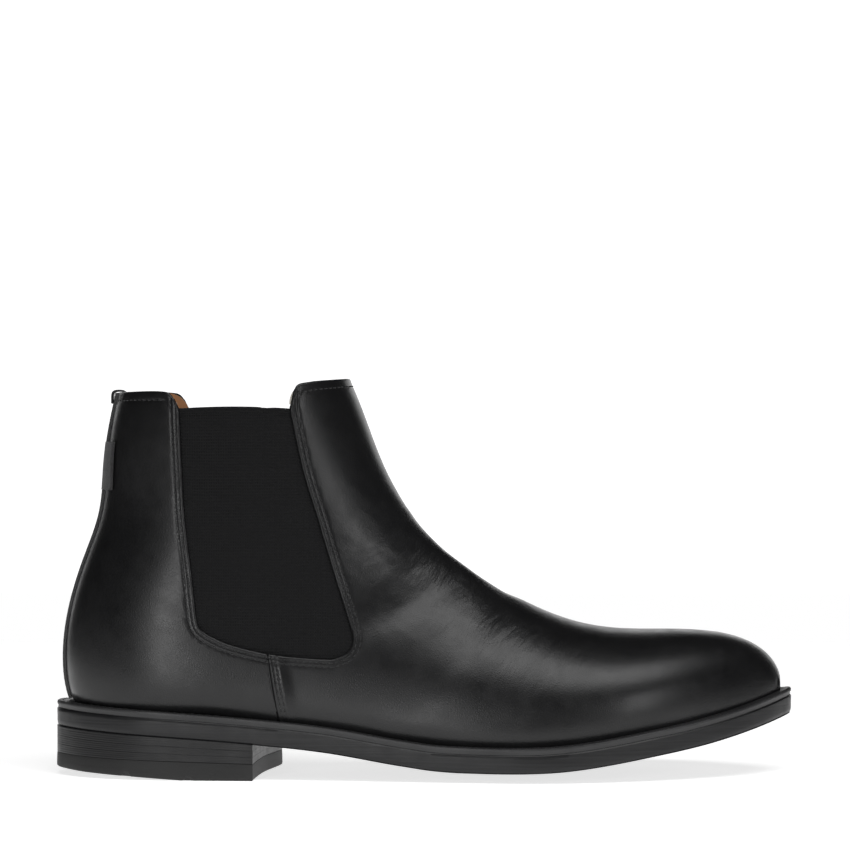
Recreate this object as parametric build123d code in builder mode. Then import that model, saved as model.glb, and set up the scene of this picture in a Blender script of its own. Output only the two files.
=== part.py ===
"""Men's chelsea boot, right foot, EU size 42.

X points to the toe, -Y to the outer (lateral) side, +Z up.  The origin is the bottom centre
of the boot's box.  All lengths are in millimetres.
"""

import os
from math import copysign, cos, hypot, pi, sin

from build123d import *

# ---- Thicknesses ---------------------------------------------------------------------------
UPPER_LEATHER = 1.4
STIFFENER = 1.0
LINING = 0.8
STRIP_LEATHER = 1.2
WELT = 2.8
SOLE_EDGE = 10.2
FILLER = 1.2
INSOLE_BOARD = 2.4
SOCK = 1.2
CUSHION = 2.0
INSIDE = UPPER_LEATHER + STIFFENER + LINING

# ---- Smaller parts -------------------------------------------------------------------------
STRIP_HALF_WIDTH = 5.0
SHANK_LENGTH = 100.0
SHANK_WIDTH = 14.0
SHANK_CENTRE = -58.0
CUSHION_MARGIN = 9.0
CUSHION_FRONT = -78.0
SOCK_MARGIN = 0.3
TAG_WIDTH = 9.5
TAG_THICKNESS = 1.1
TAG_REST_GAP = 0.4
TAG_ROOT = 5.8
TAG_TOP = 137.0
TAG_HEIGHT = 19.7
NAIL_RADIUS = 1.0
NAIL_FOOT = 4.0
NAIL_LENGTH = 15.0
NAILS_AT = [(-138, 0), (-128, -19), (-128, 19), (-102, -25), (-102, 24), (-80, -26), (-76, 22)]
NOTCH_RADIUS = 1.6
NOTCHES_AT = [-121.5, -96.0]

# ---- Outer limits for cutting solids -------------------------------------------------------
BREADTH = 70.0
HIGH = 190.0
LOW = -10.0
BACK = -160.0
FRONT = 160.0

# ---- The ribs of the last ------------------------------------------------------------------
# Each rib is a flat egg-shaped section seen edge-on from the side.  It runs from the instep
# ridge to the back or the bottom of the boot, level in the shaft and upright in the forefoot.
# The first two lie above the collar, so that the walls run straight up through it.
# ridge (x, z), rear (x, z), outer half width, inner half width, place of the widest point as a
# share of the length from the rear, exponent in front, exponent behind, shift to the inner side
RIBS = [
    ((-56.4, 213.0), (-121.0, 212.0), 36.5, 36.5, 0.50, 2.1, 2.2, 0.0),
    ((-46.0, 192.0), (-123.0, 190.0), 36.5, 36.5, 0.50, 2.1, 2.2, 0.0),
    ((-35.6, 172.0), (-125.3, 170.0), 36.5, 36.5, 0.50, 2.1, 2.2, 0.0),
    ((-25.6, 149.6), (-129.1, 148.0), 36.0, 36.0, 0.49, 2.1, 2.2, 0.0),
    ((-17.1, 127.5), (-132.2, 126.0), 34.5, 34.5, 0.48, 2.1, 2.2, 0.0),
    ((-9.0, 112.3), (-134.6, 106.0), 33.5, 33.5, 0.46, 2.1, 2.2, 0.0),
    ((-2.6, 103.2), (-141.3, 87.0), 34.0, 34.0, 0.42, 2.1, 2.2, 0.0),
    ((2.5, 97.4), (-147.5, 64.5), 35.0, 34.5, 0.38, 2.1, 2.2, 0.0),
    ((7.0, 93.2), (-149.0, 47.0), 35.5, 35.0, 0.36, 2.1, 2.2, 0.0),
    ((11.0, 89.8), (-146.3, 31.0), 36.0, 35.0, 0.35, 2.1, 2.3, 0.0),
    ((15.0, 86.8), (-138.0, 20.0), 36.5, 35.0, 0.36, 2.1, 2.4, 0.0),
    ((19.5, 83.5), (-118.0, 17.0), 37.0, 34.5, 0.38, 2.0, 2.5, 0.0),
    ((24.0, 80.3), (-88.0, 15.0), 38.0, 34.0, 0.38, 2.0, 2.6, 0.0),
    ((29.0, 77.0), (-56.0, 11.5), 40.0, 35.0, 0.36, 2.0, 2.8, 0.5),
    ((36.0, 73.2), (-24.0, 7.0), 43.0, 40.0, 0.34, 2.0, 3.0, 1.0),
    ((46.0, 68.8), (8.0, 4.0), 47.0, 44.5, 0.32, 2.0, 3.0, 1.5),
    ((62.0, 62.7), (38.0, 3.0), 49.0, 47.5, 0.30, 2.05, 3.0, 2.0),
    ((82.0, 59.5), (68.0, 5.5), 47.5, 47.0, 0.32, 2.1, 3.0, 3.0),
    ((102.0, 59.2), (96.0, 10.0), 41.0, 40.5, 0.34, 2.15, 3.0, 4.2),
    ((120.0, 58.1), (118.0, 14.5), 32.0, 31.5, 0.37, 2.2, 3.0, 5.5),
    ((133.0, 54.8), (133.0, 18.5), 23.5, 23.0, 0.40, 2.2, 2.8, 6.6),
    ((142.0, 49.4), (142.0, 23.0), 15.0, 15.0, 0.42, 2.2, 2.5, 7.3),
    ((147.6, 41.0), (147.6, 27.0), 7.0, 7.0, 0.45, 2.1, 2.2, 7.8),
]
POINTS_PER_RIB = 20
# Lofts through overlapping runs of ribs: first rib, last rib, and the ribs they are trimmed at
LOFT_RUNS = [(0, 11, None, 9), (8, 16, 9, 14), (13, 22, 14, None)]

# ---- Side-view lines (x, z) ----------------------------------------------------------------
WELT_LINE = [
    (BACK, 30.7), (-106.0, 27.5), (-70.8, 24.9), (-40.0, 21.7), (-10.0, 16.8),
    (12.0, 14.5), (54.0, 14.8), (95.0, 20.9), (123.0, 26.6), (FRONT, 37.0),
]
HEEL_SEAT_POINTS = 3
COLLAR_FRONT = [(0.0, 167.0), (-31.7, 163.1), (-46.6, 161.4)]
FRONT_CORNER = (-52.4, 159.2)
GORE_TOP_FRONT = (-54.8, 150.3)
GORE_TOP_MIDDLE = (-77.0, 151.6)
GORE_TOP_REAR = (-99.9, 150.0)
REAR_CORNER = (-102.8, 155.2)
COLLAR_REAR = [(-107.8, 157.4), (BACK, 157.2)]
GORE_FRONT_EDGE = [(-49.6, 125.8), (-43.5, 105.5), (-37.5, 85.3), (-31.2, 65.0), (-29.4, 57.6)]
GORE_TOE_END = [(-31.4, 52.0), (-37.5, 49.2)]
GORE_BOTTOM_EDGE = [(-49.2, 49.8), (-64.0, 51.4), (-79.2, 55.1), (-88.0, 59.0)]
GORE_HEEL_END = [(-91.4, 62.0), (-92.7, 67.0)]
GORE_REAR_EDGE = [(-94.8, 85.3), (-97.6, 105.5), (-98.8, 125.8)]
# The elastic as it is cut, a seam allowance wider than its opening
GORE_CLOTH = [
    (-47.5, 152.4), (-42.5, 126.0), (-36.5, 105.0), (-30.5, 85.0), (-24.0, 64.0), (-23.5, 53.0),
    (-29.0, 44.0), (-39.0, 41.5), (-66.0, 44.0), (-82.0, 48.0), (-95.0, 55.0), (-99.5, 64.0),
    (-102.0, 86.0), (-105.0, 106.0), (-107.0, 152.4),
]
SIDE_SEAM = [(-64.0, 52.0), (-58.4, 18.0)]
TOE_PUFF_EDGE = [(88.0, 90.0), (104.0, LOW)]
COUNTER_EDGE = [(BACK, 74.0), (-120.0, 72.0), (-102.5, 52.0), (-72.0, 43.0), (-68.0, LOW)]
HEEL_FRONT = -50.0
HEEL_LINES = [
    ((BACK, HIGH), (HEEL_FRONT, HIGH)),
    ((BACK, 16.7), (HEEL_FRONT, 11.0)),
    ((BACK, 13.1), (HEEL_FRONT, 8.7)),
    ((BACK, 9.4), (HEEL_FRONT, 6.3)),
]
HEEL_GROUND_LINE = [(HEEL_FRONT, 0.0), (-98.0, 0.0), (-120.0, 1.4), (-140.0, 2.3), (BACK, 3.6)]

# ---- Plan lines (x, y) ---------------------------------------------------------------------
SOLE_OUTLINE = [
    (152.5, 8.0), (146.5, -7.0), (132.0, -22.5), (110.0, -36.0), (80.0, -47.5), (45.0, -52.4),
    (5.0, -47.5), (-35.0, -42.0), (-75.0, -38.5), (-115.0, -35.0), (-137.0, -25.0),
    (-149.5, -11.0), (-152.4, 0.0), (-149.5, 11.0), (-137.0, 25.0), (-115.0, 34.0),
    (-75.0, 34.5), (-35.0, 37.0), (0.0, 46.5), (38.0, 52.2), (72.0, 52.2), (100.0, 48.5),
    (124.0, 38.5), (143.0, 24.0),
]
HEEL_BREAST = [(-69.6, -BREADTH), (-69.6, -38.0), (-66.5, 0.0), (-60.5, 34.5), (-60.5, BREADTH)]

# ---- Swell of the sole: how far its middle hangs below the edge at the front welt points ---
SOLE_SWELL = [-0.6, 1.4, 3.25, 2.85, 2.4, 1.8, 0.6]
SWELL_RISE = 1.2


def power(value, exponent):
    """Raise a signed value to an exponent and keep its sign."""
    return copysign(abs(value) ** exponent, value)


def rib_plane(rib):
    """The plane that a rib lies in, with its own x from the rear to the ridge."""
    ridge, rear, shift = rib[0], rib[1], rib[7]
    length = hypot(ridge[0] - rear[0], ridge[1] - rear[1])
    run_x = (ridge[0] - rear[0]) / length
    run_z = (ridge[1] - rear[1]) / length
    return Plane(origin=(rear[0], shift, rear[1]), x_dir=(run_x, 0, run_z), z_dir=(-run_z, 0, run_x))


def rib_points(rib, inset):
    """The points of a rib's outline in its own plane, drawn in by inset."""
    ridge, rear, outer, inner, widest, front_power, rear_power, _ = rib
    length = hypot(ridge[0] - rear[0], ridge[1] - rear[1])
    middle = inset + widest * (length - 2 * inset)
    points = []
    for step in range(POINTS_PER_RIB):
        angle = 2 * pi * step / POINTS_PER_RIB
        in_front = cos(angle) > 0
        exponent = 2 / (front_power if in_front else rear_power)
        reach = length - inset - middle if in_front else middle - inset
        half_width = (inner if sin(angle) > 0 else outer) - inset
        along = middle + reach * power(cos(angle), exponent)
        points.append((along, half_width * power(sin(angle), exponent)))
    return points


def loft_run(first, last, upper_trim, lower_trim, inset):
    """Loft one run of ribs and trim it at the ribs where it meets its neighbours."""
    with BuildPart() as run:
        for rib in RIBS[first:last + 1]:
            with BuildSketch(rib_plane(rib)):
                with BuildLine():
                    Spline(*rib_points(rib, inset), periodic=True)
                make_face()
        loft()
        if lower_trim is not None:
            split(bisect_by=rib_plane(RIBS[lower_trim]), keep=Keep.TOP)
        if upper_trim is not None:
            split(bisect_by=rib_plane(RIBS[upper_trim]), keep=Keep.BOTTOM)
    return run.part


def form(inset):
    """The closed form of the whole boot, drawn in by inset from the leather's outer face."""
    with BuildPart() as whole:
        for first, last, upper_trim, lower_trim in LOFT_RUNS:
            add(loft_run(first, last, upper_trim, lower_trim, inset))
    return whole.part


def side_prism(points):
    """A prism right across the boot from a side-view polygon."""
    with BuildPart() as prism:
        with BuildSketch(Plane.XZ):
            with BuildLine():
                Polyline(*points, close=True)
            make_face()
        extrude(amount=BREADTH, both=True)
    return prism.part


def welt_points(rise, heel_rise=None):
    """The welt line raised by rise, or by heel_rise over the heel seat."""
    if heel_rise is None:
        heel_rise = rise
    raised = []
    for place, (x, z) in enumerate(WELT_LINE):
        raised.append((x, z + (heel_rise if place < HEEL_SEAT_POINTS else rise)))
    return raised


def sole_band(low, high, high_at_heel=None):
    """A layer right across the boot between two heights above the welt line."""
    with BuildPart() as band:
        with BuildSketch(Plane.XZ):
            with BuildLine():
                under = Spline(*welt_points(low))
                over = Spline(*welt_points(high, high_at_heel))
                Line(under @ 0, over @ 0)
                Line(under @ 1, over @ 1)
            make_face()
        extrude(amount=BREADTH, both=True)
    return band.part


def upper_prism():
    """Side view of the upper, from the top of the sole to the collar."""
    with BuildPart() as prism:
        with BuildSketch(Plane.XZ):
            with BuildLine():
                front = Spline(*COLLAR_FRONT)
                ThreePointArc(front @ 1, FRONT_CORNER, GORE_TOP_FRONT)
                ThreePointArc(GORE_TOP_FRONT, GORE_TOP_MIDDLE, GORE_TOP_REAR)
                ThreePointArc(GORE_TOP_REAR, REAR_CORNER, COLLAR_REAR[0])
                Line(*COLLAR_REAR)
                foot = Spline(*welt_points(-WELT))
                Line(COLLAR_REAR[1], foot @ 0)
                Polyline(foot @ 1, (FRONT, COLLAR_FRONT[0][1]), COLLAR_FRONT[0])
            make_face()
        extrude(amount=BREADTH, both=True)
    return prism.part


def gore_prism():
    """Side view of the gore's opening, open at the top."""
    with BuildPart() as prism:
        with BuildSketch(Plane.XZ):
            with BuildLine():
                front = Spline(GORE_TOP_FRONT, *GORE_FRONT_EDGE)
                toe_end = ThreePointArc(front @ 1, *GORE_TOE_END)
                bottom = Spline(toe_end @ 1, *GORE_BOTTOM_EDGE)
                heel_end = ThreePointArc(bottom @ 1, *GORE_HEEL_END)
                rear = Spline(heel_end @ 1, *GORE_REAR_EDGE, GORE_TOP_REAR)
                Polyline(rear @ 1, (GORE_TOP_REAR[0], HIGH), (GORE_TOP_FRONT[0], HIGH), front @ 0)
            make_face()
        extrude(amount=BREADTH, both=True)
    return prism.part


def plan_prism(low, high):
    """The sole's plan outline as a prism between two heights."""
    with BuildPart() as prism:
        with BuildSketch(Plane.XY.offset(low)):
            with BuildLine():
                Spline(*SOLE_OUTLINE, periodic=True)
            make_face()
        extrude(amount=high - low)
    return prism.part


def side_box(low_y, high_y):
    """A box that keeps only one slice of the boot's breadth."""
    with BuildPart() as box:
        with Locations((0, (low_y + high_y) / 2, (HIGH + LOW) / 2)):
            Box(FRONT - BACK, high_y - low_y, HIGH - LOW)
    return box.part


def shell(outer, inner, outline):
    """One layer of the upper: between two forms and inside a side view."""
    with BuildPart() as layer:
        add(outer)
        add(outline, mode=Mode.INTERSECT)
        add(inner, mode=Mode.SUBTRACT)
    return layer.part


def write(part, label):
    """Label a finished piece and write its STEP file."""
    part.label = label
    export_step(part, f"parts/{label}.step")


# ---- Shared cutting solids -----------------------------------------------------------------
os.makedirs("parts", exist_ok=True)

leather_face = form(0)
leather_back = form(UPPER_LEATHER)
stiffener_back = form(UPPER_LEATHER + STIFFENER)
lining_face = form(INSIDE)
upper_view = upper_prism()
gore_view = gore_prism()
gore_seam_view = side_prism(GORE_CLOTH)
front_view = side_prism([
    (GORE_TOP_MIDDLE[0], HIGH), *SIDE_SEAM, (SIDE_SEAM[1][0], LOW), (FRONT, LOW), (FRONT, HIGH),
])
toe_puff_view = side_prism([*TOE_PUFF_EDGE, (FRONT, LOW), (FRONT, TOE_PUFF_EDGE[0][1])])
counter_view = side_prism([*COUNTER_EDGE, (BACK, LOW)])
outer_side = side_box(-BREADTH, 0)
inner_side = side_box(0, BREADTH)
sole_plan = plan_prism(LOW, HIGH)

# ---- Upper leather -------------------------------------------------------------------------
leather = shell(leather_face, leather_back, upper_view)

with BuildPart() as vamp:
    add(leather)
    add(gore_view, mode=Mode.SUBTRACT)
    add(front_view, mode=Mode.INTERSECT)
write(vamp.part, "vamp")

for side_name, side in (("lateral", outer_side), ("medial", inner_side)):
    with BuildPart() as quarter:
        add(leather)
        add(gore_view, mode=Mode.SUBTRACT)
        add(front_view, mode=Mode.SUBTRACT)
        add(side, mode=Mode.INTERSECT)
    write(quarter.part, f"quarter_{side_name}")

with BuildPart() as back_strip:
    add(loft_run(*LOFT_RUNS[0], -STRIP_LEATHER))
    add(upper_view, mode=Mode.INTERSECT)
    split(bisect_by=Plane.YZ.offset(GORE_TOP_REAR[0]), keep=Keep.BOTTOM)
    split(bisect_by=Plane.XZ.offset(STRIP_HALF_WIDTH), keep=Keep.BOTTOM)
    split(bisect_by=Plane.XZ.offset(-STRIP_HALF_WIDTH), keep=Keep.TOP)
    add(leather_face, mode=Mode.SUBTRACT)
write(back_strip.part, "back_strip")

# ---- Elastic gores and hidden stiffeners ---------------------------------------------------
middle_layer = shell(leather_back, stiffener_back, upper_view)

for side_name, side in (("lateral", outer_side), ("medial", inner_side)):
    with BuildPart() as gore:
        add(middle_layer)
        add(gore_seam_view, mode=Mode.INTERSECT)
        add(side, mode=Mode.INTERSECT)
    write(gore.part, f"gore_{side_name}")

with BuildPart() as toe_puff:
    add(middle_layer)
    add(toe_puff_view, mode=Mode.INTERSECT)
write(toe_puff.part, "toe_puff")

with BuildPart() as heel_counter:
    add(middle_layer)
    add(counter_view, mode=Mode.INTERSECT)
write(heel_counter.part, "heel_counter")

# ---- Backing cloth, in the same layer as the gores and stiffeners, and the lining ----------
with BuildPart() as backing:
    add(middle_layer)
    for hidden_view in (gore_seam_view, toe_puff_view, counter_view):
        add(hidden_view, mode=Mode.SUBTRACT)

with BuildPart() as lining:
    add(shell(stiffener_back, lining_face, upper_view))
    add(gore_view, mode=Mode.SUBTRACT)

for layer, layer_name in ((backing.part, "backing"), (lining.part, "lining")):
    with BuildPart() as vamp_layer:
        add(layer)
        add(front_view, mode=Mode.INTERSECT)
    write(vamp_layer.part, f"vamp_{layer_name}")
    for side_name, side in (("lateral", outer_side), ("medial", inner_side)):
        with BuildPart() as quarter_layer:
            add(layer)
            add(front_view, mode=Mode.SUBTRACT)
            add(side, mode=Mode.INTERSECT)
        write(quarter_layer.part, f"quarter_{layer_name}_{side_name}")

# ---- Inside the foot -----------------------------------------------------------------------
filler_top = FILLER - WELT
board_top = filler_top + INSOLE_BOARD
sock_top = board_top + SOCK

with BuildPart() as shank:
    with BuildSketch(Plane.XY.offset(LOW)):
        with Locations((SHANK_CENTRE, 0)):
            SlotOverall(SHANK_LENGTH, SHANK_WIDTH)
    extrude(amount=HIGH)
    add(sole_band(-WELT, filler_top), mode=Mode.INTERSECT)
write(shank.part, "shank")

with BuildPart() as bottom_filler:
    add(lining_face)
    add(sole_band(-WELT, filler_top), mode=Mode.INTERSECT)
    add(shank.part, mode=Mode.SUBTRACT)
write(bottom_filler.part, "bottom_filler")

with BuildPart() as insole_board:
    add(lining_face)
    add(sole_band(filler_top, board_top), mode=Mode.INTERSECT)
write(insole_board.part, "insole_board")

with BuildPart() as heel_cushion:
    add(form(INSIDE + CUSHION_MARGIN))
    add(sole_band(board_top, board_top + CUSHION), mode=Mode.INTERSECT)
    split(bisect_by=Plane.YZ.offset(CUSHION_FRONT), keep=Keep.BOTTOM)
write(heel_cushion.part, "heel_cushion")

with BuildPart() as sock_lining:
    add(form(INSIDE + SOCK_MARGIN))
    add(sole_band(board_top, sock_top, sock_top + CUSHION), mode=Mode.INTERSECT)
    add(heel_cushion.part, mode=Mode.SUBTRACT)
write(sock_lining.part, "sock_lining")

# ---- Welt and outsole ----------------------------------------------------------------------
with BuildPart() as welt:
    add(sole_plan)
    add(sole_band(-WELT, 0), mode=Mode.INTERSECT)
    add(leather_face, mode=Mode.SUBTRACT)
write(welt.part, "welt")

with BuildPart() as heel_nails:
    with Locations([(x, y, NAIL_FOOT + NAIL_LENGTH / 2) for x, y in NAILS_AT]):
        Cylinder(NAIL_RADIUS, NAIL_LENGTH)
write(heel_nails.part, "heel_nails")

with BuildPart() as outsole:
    for (x, z), sag in zip(WELT_LINE[HEEL_SEAT_POINTS:], SOLE_SWELL):
        edge_z = z - SOLE_EDGE
        with BuildSketch(Plane.YZ.offset(x)):
            with BuildLine():
                under = ThreePointArc(
                    (-BREADTH, edge_z + SWELL_RISE), (0, edge_z - sag), (BREADTH, edge_z + SWELL_RISE))
                Polyline(under @ 1, (BREADTH, HIGH), (-BREADTH, HIGH), under @ 0)
            make_face()
    loft()
    add(sole_band(-2 * SOLE_EDGE, -SOLE_EDGE), mode=Mode.INTERSECT)
    add(sole_band(-SOLE_EDGE, -WELT))
    add(sole_plan, mode=Mode.INTERSECT)
    add(heel_nails.part, mode=Mode.SUBTRACT)
write(outsole.part, "outsole")

# ---- Heel ----------------------------------------------------------------------------------
with BuildPart() as heel_block:
    add(sole_plan)
    with BuildSketch(Plane.XY.offset(LOW)):
        with BuildLine():
            breast = Spline(*HEEL_BREAST)
            Polyline(breast @ 1, (BACK, BREADTH), (BACK, -BREADTH), breast @ 0)
        make_face()
    extrude(amount=HIGH, mode=Mode.INTERSECT)
    add(sole_band(-SOLE_EDGE, HIGH), mode=Mode.SUBTRACT)
    add(heel_nails.part, mode=Mode.SUBTRACT)

for number, (over, under) in enumerate(zip(HEEL_LINES, HEEL_LINES[1:]), start=1):
    with BuildPart() as heel_lift:
        add(heel_block.part)
        add(side_prism([*over, *reversed(under)]), mode=Mode.INTERSECT)
    write(heel_lift.part, f"heel_lift_{number}")

with BuildPart() as heel_top_piece:
    add(heel_block.part)
    add(side_prism([*HEEL_LINES[-1], *HEEL_GROUND_LINE]), mode=Mode.INTERSECT)
    with Locations([(x, 0, 0) for x in NOTCHES_AT]):
        Cylinder(NOTCH_RADIUS, 2 * BREADTH, rotation=(90, 0, 0), mode=Mode.SUBTRACT)
write(heel_top_piece.part, "heel_top_piece")

# ---- Flag label, sewn beside the back strip ------------------------------------------------
with BuildPart() as label_tag:
    with Locations((COLLAR_REAR[0][0], -TAG_ROOT - TAG_WIDTH / 2, TAG_TOP - TAG_HEIGHT / 2)):
        Box(BREADTH, TAG_WIDTH, TAG_HEIGHT)
    add(loft_run(*LOFT_RUNS[0], -TAG_REST_GAP - TAG_THICKNESS), mode=Mode.INTERSECT)
    add(loft_run(*LOFT_RUNS[0], -TAG_REST_GAP), mode=Mode.SUBTRACT)
write(label_tag.part, "label_tag")
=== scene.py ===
"""Visual model of the chelsea boot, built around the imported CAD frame.

Everything is in metres in the boot's own frame: +X to the toe, -Y to the outer side, +Z up.
Pattern lines and small sizes are written in millimetres and scaled by MM.
"""

import math

import bmesh
import bpy
import numpy as np
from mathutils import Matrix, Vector, noise
from mathutils.bvhtree import BVHTree


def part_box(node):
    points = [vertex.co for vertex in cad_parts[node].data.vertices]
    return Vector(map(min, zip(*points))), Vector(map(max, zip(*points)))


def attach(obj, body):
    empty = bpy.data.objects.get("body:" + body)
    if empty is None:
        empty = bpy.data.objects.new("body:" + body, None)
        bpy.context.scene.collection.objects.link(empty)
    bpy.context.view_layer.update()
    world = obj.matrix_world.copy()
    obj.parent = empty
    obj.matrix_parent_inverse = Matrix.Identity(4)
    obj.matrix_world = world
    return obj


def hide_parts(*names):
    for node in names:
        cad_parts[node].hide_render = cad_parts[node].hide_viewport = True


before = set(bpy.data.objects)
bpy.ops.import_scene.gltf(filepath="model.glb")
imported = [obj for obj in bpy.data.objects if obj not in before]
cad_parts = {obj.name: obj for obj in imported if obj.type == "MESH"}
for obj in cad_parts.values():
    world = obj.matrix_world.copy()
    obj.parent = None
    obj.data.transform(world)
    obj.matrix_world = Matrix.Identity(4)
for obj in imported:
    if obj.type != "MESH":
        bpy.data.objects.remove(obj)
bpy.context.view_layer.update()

MM = 0.001
BOOT = "boot"
LABEL = "label"

# ---- Thicknesses and stitching (mm) ----
LEATHER = 1.4
ELASTIC = 1.0
WELT = 2.8
SOLE_EDGE = 10.2
FEATHER_TUCK = 1.3
STITCH_PITCH = 2.6
STITCH_LENGTH = 2.05
STITCH_RADIUS = 0.27
ROW_ONE = 1.7
ROW_TWO = 3.3
COLLAR_ROW = 3.3
GORE_ROW_TOP = 149.5
SEAM_ROW_TOP = 46.0
SEAM_ROW_FOOT = 1.0
STRIP_ROW = 3.7
STRIP_ROW_FOOT = 33.0
STRIP_ROW_TOP = 155.0
STRIP_STITCH_SINK = 0.34
ROW_SPACING = 0.8
COLLAR_ROW_ANGLES = ((-52, 53), (128, 173), (187, 232))

# ---- Side-view pattern lines, as in the CAD (x, z in mm) ----
WELT_LINE = [
    (-160.0, 30.7), (-106.0, 27.5), (-70.8, 24.9), (-40.0, 21.7), (-10.0, 16.8),
    (12.0, 14.5), (54.0, 14.8), (95.0, 20.9), (123.0, 26.6), (160.0, 37.0),
]
COLLAR_FRONT = [(0.0, 167.0), (-31.7, 163.1), (-46.6, 161.4), (-52.4, 159.2), (-54.8, 150.3)]
GORE_TOP = [(-54.8, 150.3), (-77.0, 151.6), (-99.9, 150.0)]
COLLAR_REAR = [(-99.9, 150.0), (-102.8, 155.2), (-107.8, 157.4), (-130.0, 157.3), (-160.0, 157.2)]
GORE_FRONT_EDGE = [
    (-54.8, 150.3), (-49.6, 125.8), (-43.5, 105.5), (-37.5, 85.3), (-31.2, 65.0), (-29.4, 57.6),
    (-31.4, 52.0), (-37.5, 49.2),
]
GORE_BOTTOM_EDGE = [(-37.5, 49.2), (-49.2, 49.8), (-64.0, 51.4), (-79.2, 55.1), (-88.0, 59.0)]
GORE_REAR_EDGE = [
    (-88.0, 59.0), (-91.4, 62.0), (-92.7, 67.0), (-94.8, 85.3), (-97.6, 105.5), (-98.8, 125.8),
    (-99.9, 150.0),
]
SIDE_SEAM = [(-64.0, 51.4), (-61.2, 35.0), (-58.4, 18.0)]

# ---- Plan lines (x, y in mm) ----
SOLE_OUTLINE = [
    (152.5, 8.0), (146.5, -7.0), (132.0, -22.5), (110.0, -36.0), (80.0, -47.5), (45.0, -52.4),
    (5.0, -47.5), (-35.0, -42.0), (-75.0, -38.5), (-115.0, -35.0), (-137.0, -25.0),
    (-149.5, -11.0), (-152.4, 0.0), (-149.5, 11.0), (-137.0, 25.0), (-115.0, 34.0),
    (-75.0, 34.5), (-35.0, 37.0), (0.0, 46.5), (38.0, 52.2), (72.0, 52.2), (100.0, 48.5),
    (124.0, 38.5), (143.0, 24.0),
]

# ---- Where the upper is scanned from: centre x and z, tilt of the ring in degrees ----
SCAN_SPINE = [
    (-79, 171, 1), (-79, 140, 2), (-77, 115, 4), (-73, 93, 9), (-67, 74, 20), (-55, 59, 34),
    (-36, 48, 48), (-12, 40, 60), (15, 36, 70), (45, 34, 78), (75, 34, 84), (100, 35.5, 88),
    (122, 37, 90),
]
SCAN_RINGS = 190
TOE_RINGS = 30
COLUMNS = 220
TOE_POLE_SHARE = 0.6
TIP_AHEAD = 0.2
SMOOTHING_ROUNDS = 6
RAY_REACH = 0.3
WHOLE_RING_TOP = 146.0


# ---- How the leather is shaped along its edges (mm) ----
ON_LINE = 0.04
EDGE_ROUND = 1.0
EDGE_DROP = 0.75
STITCH_DENT = 0.22
DENT_WIDTH = 0.45
COLLAR_ROW_FADE = (3.5, 5.5)
LAP_RAISE = 0.7
LAP_SPAN = (3.6, 8.0)
FOLD_DEPTH = 2.5
FOLD_FADE = 1.5
FOLD_RISE = 0.35
FOLDED_THICKNESS = 2.3
SINGLE_THICKNESS = 1.25
SOFT_EDGE = 0.3
EDGE_LEVELS = (0.0, 0.3, 0.7, 1.2, 1.7, 2.2, 2.7, 3.3, 4.0)
SEAM_LEVELS = (0.0, 0.3, 0.7, 1.2, 1.7, 2.4, 3.3, 4.2)

# ---- Creases: the bent patches' middle and size (x, z in mm), and wave sizes (mm) ----
FLEX_MIDDLE, FLEX_SIZE = (2, 84), (34, 26)
ANKLE_MIDDLE, ANKLE_SIZE = (-22, 104), (20, 22)
ANKLE_SHARE = 0.5
BROAD_WAVE, BROAD_LIFT = (30.0, 26.0, 28.0), 0.12
FOLD_WAVE, FOLD_LIFT = (22.0, 20.0, 11.0), 0.20
FINE_WAVE, FINE_LIFT = (9.0, 7.0, 2.6), 0.12
CREASE_SHARPNESS, CREASE_LIFT = 4.0, 0.10
INSTEP_TURN = (0.80, 0.60)


# ---- Small geometry helpers ----
def smooth_line(points, per_span=12, closed=False):
    """Catmull-Rom points through a list of points, as an array."""
    knots = [np.array(p, float) for p in points]
    count = len(knots)
    line = []
    spans = count if closed else count - 1
    for i in range(spans):
        if closed:
            a, b, c, d = (knots[(i + k) % count] for k in (-1, 0, 1, 2))
        else:
            b, c = knots[i], knots[i + 1]
            a = knots[i - 1] if i > 0 else 2 * b - c
            d = knots[i + 2] if i + 2 < count else 2 * c - b
        for step in range(per_span):
            t = step / per_span
            line.append(0.5 * (2 * b + (c - a) * t + (2 * a - 5 * b + 4 * c - d) * t**2
                               + (3 * b - a - 3 * c + d) * t**3))
    if not closed:
        line.append(knots[-1])
    return np.array(line)


def resample(line, spacing, closed=False):
    """Evenly spaced points along a polyline."""
    if closed:
        line = np.vstack([line, line[:1]])
    steps = np.linalg.norm(np.diff(line, axis=0), axis=1)
    along = np.concatenate([[0], np.cumsum(steps)])
    count = max(2, int(round(along[-1] / spacing)))
    wanted = np.linspace(0, along[-1], count + 1)
    points = np.stack([np.interp(wanted, along, line[:, k]) for k in range(line.shape[1])], axis=1)
    return points[:-1] if closed else points


def distance_to_line(points, line):
    """Shortest distance from many 2-D points to a polyline."""
    best = np.full(len(points), 1e9)
    for a, b in zip(line[:-1], line[1:]):
        span = b - a
        t = np.clip(((points - a) @ span) / max(span @ span, 1e-12), 0, 1)
        away = np.linalg.norm(points - (a + t[:, None] * span), axis=1)
        best = np.minimum(best, away)
    return best


def inside_polygon(points, polygon):
    """True for each 2-D point inside a closed polygon."""
    x, y = points[:, 0], points[:, 1]
    inside = np.zeros(len(points), bool)
    for (xa, ya), (xb, yb) in zip(polygon, np.roll(polygon, -1, axis=0)):
        if ya == yb:
            continue
        crosses = (ya > y) != (yb > y)
        inside ^= crosses & (x < (xb - xa) * (y - ya) / (yb - ya) + xa)
    return inside


def signed_distance(points, polygon):
    """Distance to a closed polygon's edge, positive outside it."""
    closed = np.vstack([polygon, polygon[:1]])
    away = distance_to_line(points, closed)
    return np.where(inside_polygon(points, polygon), -away, away)


WELT_CURVE = smooth_line(WELT_LINE)


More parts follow.
